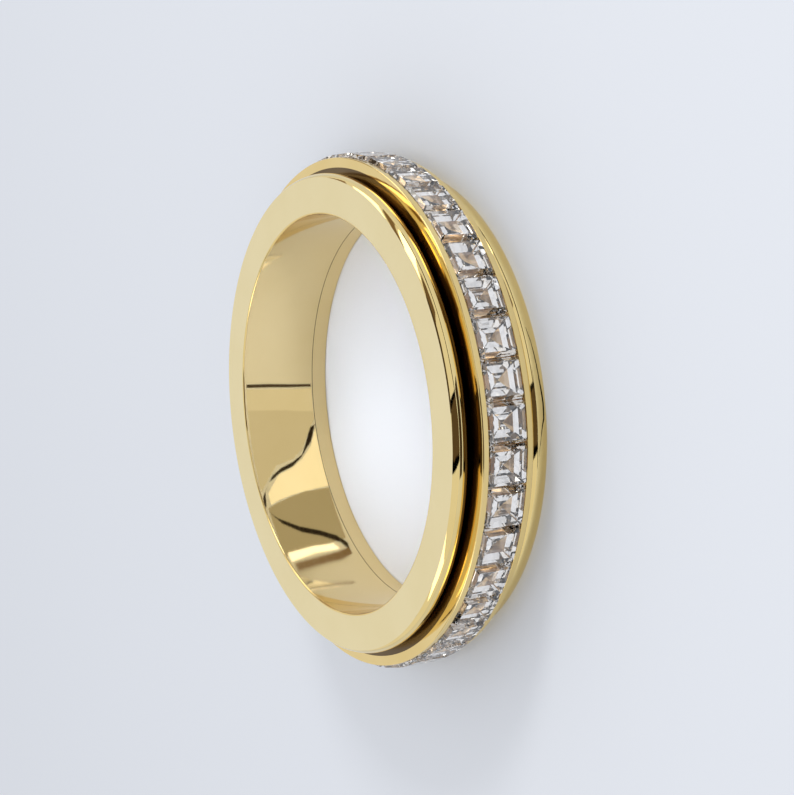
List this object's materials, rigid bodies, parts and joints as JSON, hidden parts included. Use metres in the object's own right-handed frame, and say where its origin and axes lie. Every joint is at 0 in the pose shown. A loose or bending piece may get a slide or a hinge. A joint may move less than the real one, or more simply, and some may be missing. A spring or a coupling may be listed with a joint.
{
  "type": "spinner ring",
  "caption": "Spinner finger ring: a bored band with two domed flanges, and between them a freely turning band set all round with square step cut stones.",
  "frame": {"origin": "centre of the ring on the plane of its resting face, the flat outer face of the cap ring", "axes": "+Z along the ring's axis, from the cap ring up to the polished side face that the picture shows; X and Y across the ring"},
  "size_m": [0.0234, 0.0234, 0.0046],
  "materials": {
    "ring_gold": "pale gold plating, mirror polished",
    "spinner_gold": "pale gold plating, mirror polished",
    "crystal": "colourless, cut and polished"
  },
  "bodies": {
    "band": {"base_band": "ring_gold", "cap_ring": "ring_gold"},
    "spinner": {"spinner_band": "spinner_gold", "stone_01": "crystal", "stone_02": "crystal", "stone_03": "crystal", "stone_04": "crystal", "stone_05": "crystal", "stone_06": "crystal", "stone_07": "crystal", "stone_08": "crystal", "stone_09": "crystal", "stone_10": "crystal", "stone_11": "crystal", "stone_12": "crystal", "stone_13": "crystal", "stone_14": "crystal", "stone_15": "crystal", "stone_16": "crystal", "stone_17": "crystal", "stone_18": "crystal", "stone_19": "crystal", "stone_20": "crystal", "stone_21": "crystal", "stone_22": "crystal", "stone_23": "crystal", "stone_24": "crystal", "stone_25": "crystal", "stone_26": "crystal", "stone_27": "crystal", "stone_28": "crystal", "stone_29": "crystal", "stone_30": "crystal", "stone_31": "crystal", "stone_32": "crystal", "stone_33": "crystal", "stone_34": "crystal", "stone_35": "crystal", "stone_36": "crystal", "stone_37": "crystal", "stone_38": "crystal", "stone_39": "crystal", "stone_40": "crystal"}
  },
  "joints": [
    {"name": "spinner_spin", "type": "hinge", "parent": "band", "child": "spinner", "pos_m": [0, 0, 0.00243], "axis": [0, 0, 1], "continuous": true}
  ]
}
